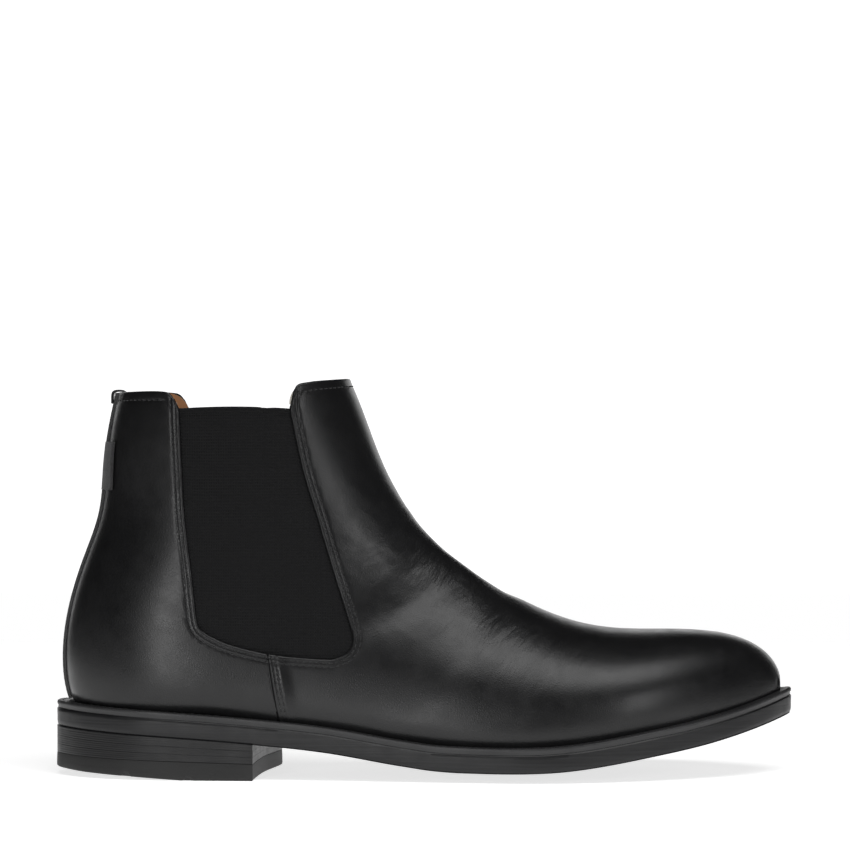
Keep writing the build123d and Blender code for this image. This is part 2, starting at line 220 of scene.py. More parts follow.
def welt_height(x):
    """Height of the welt's top face at x, in mm."""
    return np.interp(x, WELT_CURVE[:, 0], WELT_CURVE[:, 1])


def joined_lines(*lines):
    """One smooth line through pattern lines that share their end points."""
    curves = [smooth_line(line) for line in lines]
    return np.vstack([curves[0]] + [curve[1:] for curve in curves[1:]])


GORE_PATH = joined_lines(GORE_FRONT_EDGE, GORE_BOTTOM_EDGE, GORE_REAR_EDGE)
GORE_POLYGON = np.vstack([GORE_PATH, [(-99.9, 190.0), (-54.8, 190.0)]])
COLLAR_LINE = joined_lines(COLLAR_FRONT, GORE_TOP, COLLAR_REAR)
COLLAR_POLYGON = np.vstack([[(60.0, 167.0)], COLLAR_LINE, [(-160.0, 240.0), (60.0, 240.0)]])
SEAM_LINE = smooth_line(SIDE_SEAM)
FRONT_POLYGON = np.array([(-77, 240), *SIDE_SEAM, (-58.4, -20), (200, -20), (200, 240)], float)


def place_mesh(name, mesh, smooth=True):
    """A new object in the scene that shows a mesh."""
    for polygon in mesh.polygons:
        polygon.use_smooth = smooth
    piece = bpy.data.objects.new(name, mesh)
    bpy.context.scene.collection.objects.link(piece)
    return piece


def mesh_object(name, vertices, faces, smooth=True):
    """A new object from vertices in metres and faces."""
    mesh = bpy.data.meshes.new(name)
    mesh.from_pydata([tuple(v) for v in vertices], [], faces)
    mesh.validate()
    mesh.update()
    return place_mesh(name, mesh, smooth)


def object_from_bmesh(name, bm):
    """A new smooth-shaded object that takes over a bmesh."""
    mesh = bpy.data.meshes.new(name)
    bm.normal_update()
    bm.to_mesh(mesh)
    bm.free()
    return place_mesh(name, mesh)


def round_faces(rings, count):
    """Quads between matching closed rings of points, numbered ring by ring."""
    faces = []
    for r in range(rings - 1):
        low, high = r * count, (r + 1) * count
        for c in range(count):
            n = (c + 1) % count
            faces.append((low + c, low + n, high + n, high + c))
    return faces


def drop_loose(bm):
    """Delete the vertices that no face uses."""
    loose = [v for v in bm.verts if not v.link_faces]
    bmesh.ops.delete(bm, geom=loose, context="VERTS")


def soften_edges(piece, angle_limit=30):
    """Round a piece's crisp edges slightly."""
    bevel = piece.modifiers.new("soft_edges", "BEVEL")
    bevel.width = SOFT_EDGE * MM
    bevel.segments = 2
    bevel.limit_method = "ANGLE"
    bevel.angle_limit = math.radians(angle_limit)


def thicken(piece, thickness, offset=-1):
    """Give a sheet its thickness in mm, inwards from its face unless the offset says otherwise."""
    solid = piece.modifiers.new("thickness", "SOLIDIFY")
    solid.thickness = thickness * MM
    solid.offset = offset
    return solid


def finish_piece(piece, material, body=BOOT, replaces=()):
    """Give a piece its material and body, and hide the CAD nodes it stands for."""
    piece.data.materials.clear()
    piece.data.materials.append(material)
    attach(piece, body)
    if replaces:
        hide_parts(*replaces)


# ---- The upper's outer surface, read from the CAD ----
OUTER_NODES = ("vamp", "quarter_lateral", "quarter_medial", "gore_lateral", "gore_medial")


def tree_of(objects):
    """One ray tree over several objects, and for each of its faces the object's number."""
    vertices, faces, owners = [], [], []
    for number, piece in enumerate(objects):
        base = len(vertices)
        vertices += [v.co.copy() for v in piece.data.vertices]
        faces += [[base + i for i in polygon.vertices] for polygon in piece.data.polygons]
        owners += [number] * len(piece.data.polygons)
    return BVHTree.FromPolygons(vertices, faces), owners


def scan_surface():
    """Grid of points on the upper's outer face: rings from the collar to the toe tip."""
    tree, owners = tree_of([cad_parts[name] for name in OUTER_NODES])
    spine = smooth_line(SCAN_SPINE, per_span=40)
    pick = np.linspace(0, len(spine) - 1, SCAN_RINGS)
    stations = np.stack([np.interp(pick, range(len(spine)), spine[:, k]) for k in range(3)], axis=1)
    rings = [(x, z, math.radians(tilt), 0.0) for x, z, tilt in stations]
    end_x, end_z, end_tilt, _ = rings[-1]
    for ring in range(1, TOE_RINGS + 1):
        lean = math.pi / 2 * ring / (TOE_RINGS + TOE_POLE_SHARE)
        rings.append((end_x, end_z, end_tilt, lean))
    reach = np.full((len(rings), COLUMNS), np.nan)
    centres, directions = [], np.zeros((len(rings), COLUMNS, 3))
    for r, (x, z, tilt, lean) in enumerate(rings):
        centre = Vector((x, 0, z)) * MM
        centres.append(centre)
        front = Vector((math.cos(tilt), 0, math.sin(tilt)))
        forward = Vector((math.sin(tilt), 0, -math.cos(tilt)))
        for c in range(COLUMNS):
            angle = 2 * math.pi * c / COLUMNS
            flat = front * math.cos(angle) + Vector((0, 1, 0)) * math.sin(angle)
            direction = flat * math.cos(lean) + forward * math.sin(lean)
            directions[r, c] = direction
            start = centre + direction * RAY_REACH
            hit, normal, index, _ = tree.ray_cast(start, -direction, RAY_REACH)
            if hit is None:
                continue
            if OUTER_NODES[owners[index]].startswith("gore"):
                hit = hit + normal * LEATHER * MM
            reach[r, c] = (hit - centre).dot(direction)
    return np.array([tuple(c) for c in centres]), directions, reach


def fill_gaps(reach, centre_heights):
    """Bridge missed readings across each whole ring, and carry the walls up past the collar."""
    every = np.arange(COLUMNS)
    for r in reversed(range(len(reach))):
        missing = np.isnan(reach[r])
        if centre_heights[r] > WHOLE_RING_TOP * MM:
            reach[r, missing] = (2 * reach[r + 1] - reach[r + 2])[missing]
        else:
            known = np.flatnonzero(~missing)
            reach[r] = np.interp(every, known, reach[r, known], period=COLUMNS)
    return reach


def smooth_grid(reach, rounds):
    """Even out the readings a little."""
    for _ in range(rounds):
        across = (np.roll(reach, 1, axis=1) + np.roll(reach, -1, axis=1)) / 2
        padded = np.vstack([reach[:1], reach, reach[-1:]])
        along = (padded[:-2] + padded[2:]) / 2
        reach = 0.5 * reach + 0.25 * across + 0.25 * along
    return reach


centres, directions, reach = scan_surface()
reach = smooth_grid(fill_gaps(reach, centres[:, 2]), SMOOTHING_ROUNDS)
surface = centres[:, None, :] + directions * reach[:, :, None]


# ---- The upper, cut along its pattern lines ----
def base_mesh():
    """The scanned grid as a closed-round mesh with a pole at the toe tip."""
    rings = len(surface)
    vertices = surface.reshape(-1, 3)
    tip = vertices[-COLUMNS:].mean(axis=0) + np.array([TIP_AHEAD * MM, 0, 0])
    vertices = np.vstack([vertices, tip])
    faces = round_faces(rings, COLUMNS)
    last = (rings - 1) * COLUMNS
    for c in range(COLUMNS):
        faces.append((last + c, last + (c + 1) % COLUMNS, len(vertices) - 1))
    mesh = bpy.data.meshes.new("scan")
    mesh.from_pydata([tuple(v) for v in vertices], [], faces)
    bm = bmesh.new()
    bm.from_mesh(mesh)
    bpy.data.meshes.remove(mesh)
    bmesh.ops.recalc_face_normals(bm, faces=bm.faces)
    return bm


def side_view(bm):
    """Every vertex's x and z in mm."""
    return np.array([(v.co.x, v.co.z) for v in bm.verts]) / MM


def gore_field(points):
    """Distance outside the gore's opening."""
    return signed_distance(points, GORE_POLYGON)


def collar_field(points):
    """Distance below the collar's top edge."""
    return signed_distance(points, COLLAR_POLYGON)


def seam_field(points):
    """Distance in front of the side seam, carried up through the gore's opening."""
    return -signed_distance(points, FRONT_POLYGON)


def feather_field(points):
    """Height above the line where the upper goes down behind the welt."""
    return points[:, 1] - welt_height(points[:, 0]) + FEATHER_TUCK


def cut_along(bm, field, level):
    """Split the mesh's edges and faces where a field crosses a level."""
    bm.verts.index_update()
    values = field(side_view(bm)) - level
    values[np.abs(values) < ON_LINE] = 0.0
    crossing = []
    for edge in bm.edges:
        a, b = edge.verts
        if values[a.index] * values[b.index] < 0:
            crossing.append((edge, a, values[a.index] / (values[a.index] - values[b.index])))
    on_line = {v for v in bm.verts if values[v.index] == 0.0}
    for edge, start, share in crossing:
        on_line.add(bmesh.utils.edge_split(edge, start, share)[1])
    faces = {face for vert in on_line for face in vert.link_faces}
    for face in faces:
        ends = [v for v in face.verts if v in on_line]
        if len(ends) == 2 and not any(set(e.verts) == set(ends) for e in face.edges):
            bmesh.utils.face_split(face, ends[0], ends[1])


def face_points(bm):
    """Every face's centre in side view, in mm."""
    centres_now = [f.calc_center_median() for f in bm.faces]
    return np.array([(c.x, c.z) for c in centres_now]) / MM


def drop_faces(bm, doomed):
    """Delete the faces marked in a list of truths."""
    gone = [f for f, dead in zip(list(bm.faces), doomed) if dead]
    bmesh.ops.delete(bm, geom=gone, context="FACES")


def upper_panel(bm, keep):
    """A copy of the upper with only the faces that are marked to keep."""
    panel = bm.copy()
    drop_faces(panel, ~keep)
    drop_loose(panel)
    return panel


def ramp(value, start, end):
    """Smooth step from 0 at start to 1 at end."""
    t = np.clip((value - start) / (end - start), 0, 1)
    return t * t * (3 - 2 * t)


def rolled_edge(away):
    """How far a folded leather edge falls away near its rim, in mm."""
    t = np.clip(1 - away / EDGE_ROUND, 0, 1)
    return -EDGE_DROP * (1 - np.sqrt(1 - t * t))


def stitch_dent(away, row):
    """The shallow valley that a row of stitches pulls into the leather, in mm."""
    return -STITCH_DENT * np.exp(-(((away - row) / DENT_WIDTH) ** 2))


def bent_patch(points, middle, size):
    """How strongly the leather bends at each point: 1 in the patch's middle, fading to 0."""
    x, z = ((points - middle) / size).T
    return np.exp(-(x**2)) * np.exp(-(z**2))


def wave(place, size, shift=0):
    """Smooth unevenness at a place, with waves of the given size."""
    a, b, c = (p / s for p, s in zip(place, size))
    return noise.noise(Vector((a, b, c + shift)))


def leather_creases(bm, points):
    """Gentle unevenness all over and flexing creases over the ankle and instep, in mm."""
    lift = np.zeros(len(points))
    bend = bent_patch(points, FLEX_MIDDLE, FLEX_SIZE)
    bend += ANKLE_SHARE * bent_patch(points, ANKLE_MIDDLE, ANKLE_SIZE)
    major, minor = INSTEP_TURN
    for i, vert in enumerate(bm.verts):
        x, y, z = vert.co / MM
        turned = (major * x - minor * z, y, minor * x + major * z)
        fold = wave(turned, FOLD_WAVE)
        fine = wave(turned, FINE_WAVE, shift=7)
        broad = wave((x, y, z), BROAD_WAVE, shift=3)
        crease = -(max(0.0, 1 - abs(fine) * CREASE_SHARPNESS) ** 2)
        local = FOLD_LIFT * fold + CREASE_LIFT * crease + FINE_LIFT * fine
        lift[i] = BROAD_LIFT * broad + bend[i] * local
    return lift


upper = base_mesh()
for field, levels in ((gore_field, EDGE_LEVELS), (collar_field, EDGE_LEVELS), (feather_field, (0.0,))):
    for level in levels:
        cut_along(upper, field, level)
    drop_faces(upper, field(face_points(upper)) < 0)
for level in SEAM_LEVELS:
    cut_along(upper, seam_field, level)


def shape_panel(panel, in_front):
    """Roll the panel's edges, dent its stitch rows and crease its leather."""
    panel.normal_update()
    points = side_view(panel)
    gore_away, collar_away = gore_field(points), collar_field(points)
    seam_away = np.abs(distance_to_line(points, SEAM_LINE))
    lift = leather_creases(panel, points)
    lift += rolled_edge(gore_away) + rolled_edge(collar_away)
    lift += stitch_dent(gore_away, ROW_ONE) + stitch_dent(gore_away, ROW_TWO)
    lift += stitch_dent(collar_away, COLLAR_ROW) * ramp(gore_away, *COLLAR_ROW_FADE)
    if in_front:
        lift += LAP_RAISE * (1 - ramp(seam_away, *LAP_SPAN)) + rolled_edge(seam_away)
        lift += stitch_dent(seam_away, ROW_ONE) + stitch_dent(seam_away, ROW_TWO)
    weights = panel.verts.layers.deform.verify()
    turned_in = 1 - ramp(collar_away, FOLD_DEPTH, FOLD_DEPTH + FOLD_FADE)
    turned_in *= ramp(gore_away, 0, FOLD_FADE)
    rise = FOLD_RISE * (1 - ramp(collar_away, 0, FOLD_DEPTH))
    for k, vert in enumerate(panel.verts):
        vert.co += vert.normal * (lift[k] * MM)
        vert.co.z += rise[k] * MM
        vert[weights][0] = float(turned_in[k])
    return panel


seam_side = seam_field(face_points(upper))
face_y = np.array([f.calc_center_median().y for f in upper.faces])
panels = {
    "vamp_leather": (seam_side > 0, True, "vamp"),
    "quarter_leather_lateral": ((seam_side < 0) & (face_y < 0), False, "quarter_lateral"),
    "quarter_leather_medial": ((seam_side < 0) & (face_y > 0), False, "quarter_medial"),
}


# ---- Materials ----
# The wrinkled patch in coordinates along and across the instep: centre and half size, metres
INSTEP_SLOPE_DEGREES = -36.9
WRINKLE_CENTRE = (-0.0196, 0, 0.0728)
WRINKLE_HALF_SIZE = (0.055, 1.0, 0.026)
WRINKLES_PER_METRE = (430, 130, 130)
WRINKLE_DEPTH = 0.0005
WRINKLE_FADE = (0.2, 1.0)
TINT_RANGE = (0.3, 0.7)
BAND_DISTORTION = 0.4


def new_material(name, color, roughness):
    """A node material and its shader, with a plain colour and roughness to start from."""
    material = bpy.data.materials.new(name)
    material.use_nodes = True
    shader = material.node_tree.nodes["Principled BSDF"]
    shader.inputs["Base Color"].default_value = (*color, 1)
    shader.inputs["Roughness"].default_value = roughness
    return material, shader


def add_node(material, kind, values, wires, **settings):
    """A shader node with its settings, input values and incoming wires."""
    tree = material.node_tree
    node = tree.nodes.new("ShaderNode" + kind)
    for name, setting in settings.items():
        setattr(node, name, setting)
    for name, value in values.items():
        node.inputs[name].default_value = value
    for name, source in wires.items():
        tree.links.new(source, node.inputs[name])
    return node


def scaled(material, vector, scale):
    """Coordinates stretched by a scale."""
    return add_node(material, "Mapping", {"Scale": scale}, {"Vector": vector}).outputs["Vector"]


def object_coordinates(material, scale=(1, 1, 1)):
    """The object's own coordinates, stretched by a scale."""
    own = add_node(material, "TexCoord", {}, {}).outputs["Object"]
    return scaled(material, own, scale)


def noise_texture(material, vector, scale, detail=3.0):
    """A noise texture's value."""
    values = {"Scale": scale, "Detail": detail}
    return add_node(material, "TexNoise", values, {"Vector": vector}).outputs["Fac"]


def cell_texture(material, vector, scale):
    """How far each point is from the edge of its Voronoi cell."""
    feature = "DISTANCE_TO_EDGE"
    node = add_node(material, "TexVoronoi", {"Scale": scale}, {"Vector": vector}, feature=feature)
    return node.outputs["Distance"]


def wave_texture(material, vector, scale, direction):
    """A band texture's value."""
    values = {"Scale": scale, "Distortion": BAND_DISTORTION}
    node = add_node(material, "TexWave", values, {"Vector": vector}, bands_direction=direction)
    return node.outputs["Fac"]


def spread(material, value, low, high, known=(0.25, 0.75)):
    """Map a value from its known range to low..high."""
    values = {"From Min": known[0], "From Max": known[1], "To Min": low, "To Max": high}
    return add_node(material, "MapRange", values, {"Value": value}).outputs["Result"]


def drive(material, shader, name, value):
    """Let a texture value drive one of the shader's inputs."""
    material.node_tree.links.new(value, shader.inputs[name])


def tint(material, shader, value, dark, light):
    """Vary the base colour between two colours by a texture value."""
    node = add_node(material, "ValToRGB", {}, {"Fac": value})
    for element, color, position in zip(node.color_ramp.elements, (dark, light), TINT_RANGE):
        element.color = (*color, 1)
        element.position = position
    drive(material, shader, "Base Color", node.outputs["Color"])


def bump(material, shader, heights):
    """Chain bump nodes from (value, strength, depth in metres) into the shader's normal."""
    wires = {}
    for value, strength, depth in heights:
        wires["Height"] = value
        node = add_node(material, "Bump", {"Strength": strength, "Distance": depth}, wires)
        wires["Normal"] = node.outputs["Normal"]
    drive(material, shader, "Normal", wires["Normal"])


def flexing_wrinkles(material, vector):
    """Fine wrinkles that run across the instep and fade out around the bend."""
    turn = {"Rotation": (0, math.radians(INSTEP_SLOPE_DEGREES), 0)}
    along = add_node(material, "Mapping", turn, {"Vector": vector}).outputs["Vector"]
    lines = noise_texture(material, scaled(material, along, WRINKLES_PER_METRE), 1.0, 2)
    shrink = (1 / WRINKLE_HALF_SIZE[0], 0, 1 / WRINKLE_HALF_SIZE[2])
    middle = [c * k for c, k in zip(WRINKLE_CENTRE, shrink)]
    place = scaled(material, along, shrink)
    away = add_node(material, "VectorMath", {1: middle}, {0: place}, operation="DISTANCE")
    fade = spread(material, away.outputs["Value"], 1.0, 0.0, known=WRINKLE_FADE)
    product = add_node(material, "Math", {}, {0: lines, 1: fade}, operation="MULTIPLY")
    return product.outputs["Value"]


def black_calf():
    """Polished black calf: fine pebble grain, faint wear and a thin wax coat."""
    material, shader = new_material("black_calf", (0.007, 0.007, 0.0075), 0.4)
    shader.inputs["Coat Weight"].default_value = 0.16
    shader.inputs["Coat Roughness"].default_value = 0.25
    shader.inputs["Specular IOR Level"].default_value = 0.38
    vector = object_coordinates(material)
    cloud = noise_texture(material, vector, 45)
    tint(material, shader, cloud, (0.005, 0.005, 0.0055), (0.010, 0.010, 0.0105))
    rough = spread(material, noise_texture(material, vector, 160, 6), 0.29, 0.40)
    drive(material, shader, "Roughness", rough)
    grain = cell_texture(material, vector, 1050)
    pores = noise_texture(material, vector, 2600, 2)
    wrinkles = flexing_wrinkles(material, vector)
    heights = [(wrinkles, 0.8, WRINKLE_DEPTH), (grain, 0.4, 0.00015), (pores, 0.2, 0.0001)]
    bump(material, shader, heights)
    return material


def ribbed_elastic():
    """Matte black elastic webbing with a fine cross weave."""
    material, shader = new_material("ribbed_elastic", (0.006, 0.006, 0.0065), 0.9)
    shader.inputs["Sheen Weight"].default_value = 0.08
    shader.inputs["Specular IOR Level"].default_value = 0.25
    vector = object_coordinates(material)
    fuzz = noise_texture(material, vector, 1800, 3)
    tint(material, shader, fuzz, (0.004, 0.004, 0.0045), (0.008, 0.008, 0.0085))
    yarn = wave_texture(material, vector, 320, "X")
    bump(material, shader, [(yarn, 0.5, 0.00015), (fuzz, 0.3, 0.0001)])
    return material


def grained(name, dark, light, roughness, grain_scale, depth):
    """A leather, cork or board whose colour drifts between two tones under a fine grain."""
    material, shader = new_material(name, dark, roughness)
    vector = object_coordinates(material)
    tint(material, shader, noise_texture(material, vector, 60, 5), dark, light)
    grain = cell_texture(material, vector, grain_scale)
    bump(material, shader, [(grain, 0.35, depth)])
    return material


def layered_edge(name, dark, light, roughness):
    """Dressed sole or heel edge: fine lines that run level round the edge."""
    material, shader = new_material(name, dark, roughness)
    vector = object_coordinates(material, (30, 30, 1500))
    shader.inputs["Specular IOR Level"].default_value = 0.35
    lines = noise_texture(material, vector, 1.0, 3)
    tint(material, shader, lines, dark, light)
    cloud = noise_texture(material, object_coordinates(material), 150, 4)
    rough = spread(material, cloud, roughness - 0.07, roughness + 0.08)
    drive(material, shader, "Roughness", rough)
    bump(material, shader, [(lines, 0.35, 0.00015)])
    return material


def brushed_metal(name, color):
    """Steel with a lengthwise brushed grain."""
    material, shader = new_material(name, color, 0.35)
    shader.inputs["Metallic"].default_value = 1.0
    lines = noise_texture(material, object_coordinates(material, (40, 900, 900)), 1.0, 3)
    bump(material, shader, [(lines, 0.25, 0.0001)])
    return material


def woven(name, dark, light, scale):
    """Plain-woven cloth."""
    material, shader = new_material(name, dark, 0.9)
    vector = object_coordinates(material)
    shader.inputs["Sheen Weight"].default_value = 0.2
    tint(material, shader, noise_texture(material, vector, 900, 3), dark, light)
    warp = wave_texture(material, vector, scale, "X")
    weft = wave_texture(material, vector, scale, "Z")
    bump(material, shader, [(warp, 0.45, 0.00015), (weft, 0.45, 0.00015)])
    return material


CALF = black_calf()
ELASTIC_CLOTH = ribbed_elastic()
THREAD = woven("black_thread", (0.006, 0.006, 0.0065), (0.014, 0.014, 0.015), 2200)
TAN = grained("tan_lining", (0.40, 0.17, 0.065), (0.52, 0.24, 0.10), 0.55, 900, 0.0001)
SOCK_TAN = grained("sock_leather", (0.38, 0.17, 0.07), (0.50, 0.24, 0.11), 0.6, 700, 0.0001)
EDGE = layered_edge("sole_edge", (0.006, 0.006, 0.0065), (0.014, 0.014, 0.015), 0.38)
STACK = layered_edge("heel_stack", (0.005, 0.005, 0.0055), (0.012, 0.012, 0.0125), 0.4)
WELT_BLACK = grained("welt_leather", (0.014, 0.014, 0.015), (0.028, 0.028, 0.029), 0.42, 1100, 0.0001)
RUBBER = grained("black_rubber", (0.005, 0.005, 0.005), (0.010, 0.010, 0.010), 0.6, 1300, 0.0001)
RIBBON = woven("label_ribbon", (0.020, 0.020, 0.021), (0.045, 0.045, 0.047), 1500)


# ---- Leather panels ----
panel_pieces = []
for name, (keep, in_front, node) in panels.items():
    panel = shape_panel(upper_panel(upper, keep), in_front)
    piece = object_from_bmesh(name, panel)
    finish_piece(piece, CALF, replaces=[node])
    panel_pieces.append(piece)
    piece.vertex_groups.new(name="turned_in")
    leather = thicken(piece, FOLDED_THICKNESS)
    leather.vertex_group = "turned_in"
    leather.thickness_vertex_group = SINGLE_THICKNESS / FOLDED_THICKNESS
    leather.use_even_offset = False
upper.free()


LEATHER_TREE, _ = tree_of(panel_pieces)
SKIN_POINTS = [Vector(v) for v in surface.reshape(-1, 3)]
SKIN_TREE = BVHTree.FromPolygons(SKIN_POINTS, round_faces(len(surface), COLUMNS))


def side_hit(tree, side, x, z):
    """Surface point and outward normal straight in from one side, at x and z in mm."""
    start = Vector((x * MM, side * RAY_REACH, z * MM))
    hit, normal, _, _ = tree.ray_cast(start, Vector((0, -side, 0)), RAY_REACH)
    if hit is not None and normal.y * side <= 0:
        normal = -normal
    return hit, normal


def rear_hit(tree, y, z):
    """Surface point and outward normal straight in from behind, at y and z in metres."""
    start = Vector((-RAY_REACH, y, z))
    hit, normal, _, _ = tree.ray_cast(start, Vector((1, 0, 0)), RAY_REACH)
    if hit is not None and normal.x >= 0:
        normal = -normal
    return hit, normal


# ---- Elastic gores ----
RIB_PITCH = 1.25
RIB_HEIGHT = 0.16
POINTS_PER_RIB = 4
GORE_STEP = 1.3
GORE_TUCK = 4.5
GORE_GAP = 0.05
GORE_BACK = -107.0
GORE_SPAN = 84.0
GORE_FOOT = 45.0
GORE_LEVEL = 147.0
GORE_HEAD = 151.4
GORE_RISE = 3.1
GORE_BOW = 0.9
GORE_LIP = 0.45
GORE_MIDDLE = -77.0
GORE_HALF_TOP = 24.0


def gore_sheet(side):
    """The ribbed webbing on one side, tucked under the leather all round."""
    across = np.arange(GORE_BACK, GORE_BACK + GORE_SPAN, GORE_STEP)
    up = np.arange(GORE_FOOT, GORE_HEAD, RIB_PITCH / POINTS_PER_RIB)
    x, z = np.meshgrid(across, up)
    rib = RIB_HEIGHT * np.cos(2 * math.pi * z / RIB_PITCH)
    bow = GORE_BOW * (1 - ((x - GORE_MIDDLE) / GORE_HALF_TOP) ** 2)
    share = np.clip((z - GORE_LEVEL) / (GORE_HEAD - GORE_LEVEL), 0, 1)
    height = np.where(z < GORE_LEVEL, z, GORE_LEVEL + share * (GORE_RISE + bow))
    lip = GORE_LIP * np.clip(1 - (GORE_LEVEL + GORE_RISE + bow - height) / (2 * RIB_PITCH), 0, 1)
    away = gore_field(np.stack([x.ravel(), height.ravel()], axis=1)).reshape(x.shape)
    vertices, index = [], {}
    for row, column in zip(*np.nonzero(away <= GORE_TUCK)):
        hit, normal = side_hit(SKIN_TREE, side, x[row, column], height[row, column])
        if hit is None:
            continue
        out = rib[row, column] + lip[row, column] - LEATHER - GORE_GAP
        index[row, column] = len(vertices)
        vertices.append(hit + normal * (out * MM))
    faces = []
    for row, column in index:
        corners = [(row, column), (row, column + 1), (row + 1, column + 1), (row + 1, column)]
        if all(corner in index for corner in corners):
            faces.append([index[corner] for corner in corners])
    return vertices, faces


for side, word in ((-1, "lateral"), (1, "medial")):
    piece = mesh_object(f"gore_webbing_{word}", *gore_sheet(side))
    bm = bmesh.new()
    bm.from_mesh(piece.data)
    drop_loose(bm)
    bmesh.ops.recalc_face_normals(bm, faces=bm.faces)
    middle = max(bm.faces, key=lambda f: f.calc_area())
    if middle.normal.y * side < 0:
        bmesh.ops.reverse_faces(bm, faces=bm.faces)
    bm.to_mesh(piece.data)
    bm.free()
    finish_piece(piece, ELASTIC_CLOTH, replaces=[f"gore_{word}"])
    thicken(piece, ELASTIC)


# ---- Stitching ----
# Along the stitch as a share of its length, thickness share, and rise in thread radii
STITCH_SECTIONS = (
    (-0.5, 0.35, -0.6), (-0.4, 0.8, 0.1), (-0.15, 1.0, 0.5),
    (0.15, 1.0, 0.5), (0.4, 0.8, 0.1), (0.5, 0.35, -0.6),
)
STITCH_SIDES = 6


def add_stitch(bm, middle, tangent, normal, length):
    """One thread stitch: a short round-ended bar that dips into the leather at both ends."""
    side = tangent.cross(normal).normalized()
    radius = STITCH_RADIUS * MM
    loops = []
    for along, size, rise in STITCH_SECTIONS:
        centre = middle + tangent * (along * length * MM) + normal * (rise * radius)
        loop = []
        for k in range(STITCH_SIDES):
            angle = 2 * math.pi * k / STITCH_SIDES
            reach_out = side * math.cos(angle) + normal * math.sin(angle)
            loop.append(bm.verts.new(centre + reach_out * (size * radius)))
        loops.append(loop)
    for a, b in zip(loops, loops[1:]):
        for k in range(STITCH_SIDES):
            n = (k + 1) % STITCH_SIDES
            bm.faces.new((a[k], a[n], b[n], b[k]))
    bm.faces.new(list(reversed(loops[0])))
    bm.faces.new(loops[-1])


def stitch_run(bm, points, normals, pitch=STITCH_PITCH, length=STITCH_LENGTH):
    """Stitches at an even pitch along a run of surface points."""
    steps = [0.0]
    for a, b in zip(points, points[1:]):
        steps.append(steps[-1] + (b - a).length / MM)
    count = int(steps[-1] / pitch)
    for number in range(count):
        at = (number + 0.5) * pitch
        i = min(int(np.searchsorted(steps, at)), len(points) - 1)
        before, after = points[max(i - 1, 0)], points[min(i + 1, len(points) - 1)]
        tangent = (after - before).normalized()
        share = (at - steps[i - 1]) / max(steps[i] - steps[i - 1], 1e-9)
        middle = points[i - 1].lerp(points[i], share)
        add_stitch(bm, middle, tangent, normals[i], length)


def shift_line(line, distance):
    """A side-view line moved to its left by a distance."""
    tangent = np.gradient(line, axis=0)
    tangent /= np.linalg.norm(tangent, axis=1)[:, None]
    return line + distance * np.stack([-tangent[:, 1], tangent[:, 0]], axis=1)


def project_side(line, side):
    """Leather points and normals of a side-view line on one side of the boot."""
    hits = [side_hit(LEATHER_TREE, side, x, z) for x, z in line]
    hits = [(hit, normal) for hit, normal in hits if hit is not None]
    return [hit for hit, _ in hits], [normal for _, normal in hits]


SHAFT_MIDDLE_X = -79.0
SHAFT_REACH = 0.15
FIRST_ROW_HEIGHT = 155.0
ROW_TRIES = 4


def radial_hit(angle, height):
    """Outermost surface point in a level direction from the shaft's middle."""
    direction = Vector((math.cos(angle), math.sin(angle), 0))
    start = Vector((SHAFT_MIDDLE_X, 0, height)) * MM + direction * SHAFT_REACH
    return LEATHER_TREE.ray_cast(start, -direction, SHAFT_REACH)


def collar_height(x):
    """Height of the collar's top edge at x, in mm."""
    return np.interp(x, COLLAR_LINE[::-1, 0], COLLAR_LINE[::-1, 1])


def collar_row(low_angle, high_angle):
    """Surface points along the collar, a fixed drop under its edge."""
    points, normals = [], []
    for angle in np.radians(np.arange(low_angle, high_angle, 1.0)):
        height, found = FIRST_ROW_HEIGHT, None
        for _ in range(ROW_TRIES):
            hit, normal, _, _ = radial_hit(angle, height)
            if hit is None:
                break
            height, found = collar_height(hit.x / MM) - COLLAR_ROW, (hit, normal)
        if found is not None:
            points.append(found[0])
            normals.append(found[1])
    return points, normals


def strip_row(tree, y):
    """Surface points up the back strip at one side of its middle."""
    points, normals = [], []
    for z in np.arange(STRIP_ROW_FOOT, STRIP_ROW_TOP, ROW_SPACING):
        hit, normal = rear_hit(tree, y * MM, z * MM)
        if hit is not None:
            points.append(hit - normal * (STRIP_STITCH_SINK * MM))
            normals.append(normal)
    return points, normals


stitches = bmesh.new()
for side in (-1, 1):
    for row in (ROW_ONE, ROW_TWO):
        line = resample(shift_line(GORE_PATH, row), ROW_SPACING)
        line = line[line[:, 1] < GORE_ROW_TOP - row]
        stitch_run(stitches, *project_side(line, side))
        seam = shift_line(SEAM_LINE, row)
        above_welt = seam[:, 1] - welt_height(seam[:, 0])
        seam = seam[(seam[:, 1] < SEAM_ROW_TOP) & (above_welt > SEAM_ROW_FOOT)]
        stitch_run(stitches, *project_side(resample(seam, ROW_SPACING), side))
for low_angle, high_angle in COLLAR_ROW_ANGLES:
    stitch_run(stitches, *collar_row(low_angle, high_angle))
strip_tree, _ = tree_of([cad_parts["back_strip"]])
for y in (-STRIP_ROW, STRIP_ROW):
    stitch_run(stitches, *strip_row(strip_tree, y))
finish_piece(object_from_bmesh("upper_stitching", stitches), THREAD)


# ---- The back strip's end, folded over the collar ----
FOLD_HALF_WIDTH = 3.6
FOLD_THICKNESS = 0.9
FOLD_SECTION = [
    (-0.1, -4.5), (-0.05, -0.9), (0.6, 0.2), (2.3, 0.45), (3.9, 0.2), (4.5, -0.9), (4.6, -4.0),
]


